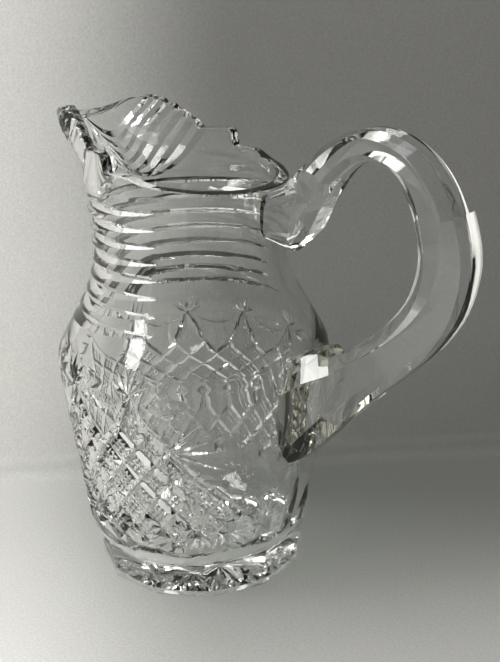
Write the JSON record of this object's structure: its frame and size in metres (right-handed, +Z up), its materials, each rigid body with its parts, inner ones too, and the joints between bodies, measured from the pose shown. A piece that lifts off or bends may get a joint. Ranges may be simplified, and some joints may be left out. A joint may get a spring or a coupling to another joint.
{
  "type": "cut glass water jug",
  "caption": "Cut glass water jug with a wide dipped pouring lip, stepped rim, ringed neck, fluted side and a solid flat-cut loop handle.",
  "frame": {"origin": "centre of the flat resting face under the foot", "axes": "+Z up, +X towards the handle, -X towards the pouring lip"},
  "size_m": [0.2028, 0.125, 0.2139],
  "materials": {
    "body_glass": "clear lead crystal, wheel-cut and polished",
    "handle_glass": "clear lead crystal, flat-cut and polished"
  },
  "bodies": {
    "root": {"jug_body": "body_glass", "handle": "handle_glass"}
  },
  "joints": []
}
